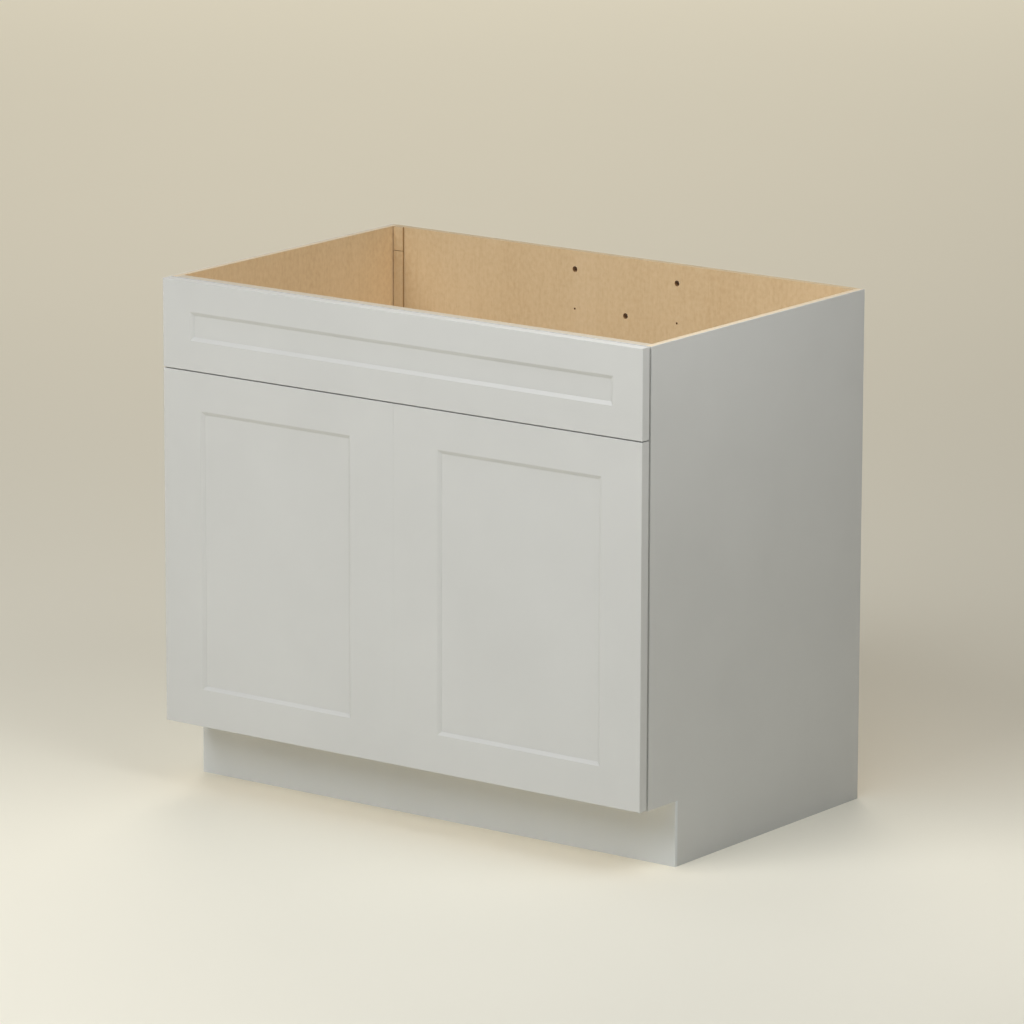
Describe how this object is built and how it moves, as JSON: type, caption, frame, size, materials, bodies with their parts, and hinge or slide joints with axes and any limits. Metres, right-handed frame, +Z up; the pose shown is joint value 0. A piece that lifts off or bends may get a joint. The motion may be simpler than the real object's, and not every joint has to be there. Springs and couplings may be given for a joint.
{
  "type": "sink base cabinet",
  "caption": "Grey framed-front sink base cabinet on a recessed toe space, open at the top, with a fixed false front over paired doors on concealed hinges.",
  "frame": {"origin": "on the floor, under the middle of the cabinet's outer box", "axes": "+X to the right as seen from the front, +Y towards the wall, +Z up"},
  "size_m": [0.9906, 0.6318, 0.8763],
  "materials": {
    "base_plywood": "raw plywood",
    "beech_dowel": "raw beech",
    "clear_bumper": "soft translucent",
    "maple_plywood": "clear-coated maple veneer",
    "nickel_plate": "nickel plate",
    "painted_front": "satin light grey paint on hardwood",
    "painted_plywood": "satin light grey paint outside, clear-coated maple inside",
    "spacer_nylon": "natural nylon",
    "zinc_screw": "zinc plate"
  },
  "bodies": {
    "carcass": {"side_panel_left": "painted_plywood", "side_panel_right": "painted_plywood", "bottom_panel": "maple_plywood", "back_panel": "maple_plywood", "front_top_rail": "maple_plywood", "front_middle_rail": "maple_plywood", "toe_kick_skin": "painted_front", "toe_kick_board": "base_plywood", "rear_base_rail": "base_plywood", "base_stringer": "base_plywood", "rear_batten_left": "maple_plywood", "rear_batten_right": "maple_plywood", "rear_corner_block_left": "maple_plywood", "rear_corner_block_right": "maple_plywood", "bottom_panel_dowels": "beech_dowel", "back_panel_dowels": "beech_dowel", "front_rail_dowels": "beech_dowel", "base_dowels": "beech_dowel", "back_panel_screws": "zinc_screw", "false_front_stile_left": "painted_front", "false_front_stile_right": "painted_front", "false_front_rail_top": "painted_front", "false_front_rail_bottom": "painted_front", "false_front_panel": "painted_front", "false_front_spacers": "spacer_nylon", "false_front_screws": "zinc_screw", "hinge_arms_left": "nickel_plate", "hinge_springs_left": "nickel_plate", "hinge_plates_left": "nickel_plate", "hinge_adjusters_left": "nickel_plate", "hinge_plate_screws_left": "nickel_plate", "hinge_arms_right": "nickel_plate", "hinge_springs_right": "nickel_plate", "hinge_plates_right": "nickel_plate", "hinge_adjusters_right": "nickel_plate", "hinge_plate_screws_right": "nickel_plate"},
    "door_left": {"door_left_hinge_stile": "painted_front", "door_left_meeting_stile": "painted_front", "door_left_rail_top": "painted_front", "door_left_rail_bottom": "painted_front", "door_left_panel": "painted_front", "door_left_bumpers": "clear_bumper", "hinge_cups_left": "nickel_plate", "hinge_cup_screws_left": "nickel_plate", "hinge_pins_left": "nickel_plate"},
    "door_right": {"door_right_hinge_stile": "painted_front", "door_right_meeting_stile": "painted_front", "door_right_rail_top": "painted_front", "door_right_rail_bottom": "painted_front", "door_right_panel": "painted_front", "door_right_bumpers": "clear_bumper", "hinge_cups_right": "nickel_plate", "hinge_cup_screws_right": "nickel_plate", "hinge_pins_right": "nickel_plate"}
  },
  "joints": [
    {"name": "left_door_swing", "type": "hinge", "parent": "carcass", "child": "door_left", "pos_m": [-0.4861, -0.30686, 0.418], "axis": [0, 0, -1], "range_deg": [0, 95], "stiffness_Nm_per_rad": 0.6, "springref_deg": -22.92},
    {"name": "right_door_swing", "type": "hinge", "parent": "carcass", "child": "door_right", "pos_m": [0.4861, -0.30686, 0.418], "axis": [0, 0, 1], "range_deg": [0, 95], "stiffness_Nm_per_rad": 0.6, "springref_deg": -22.92}
  ]
}
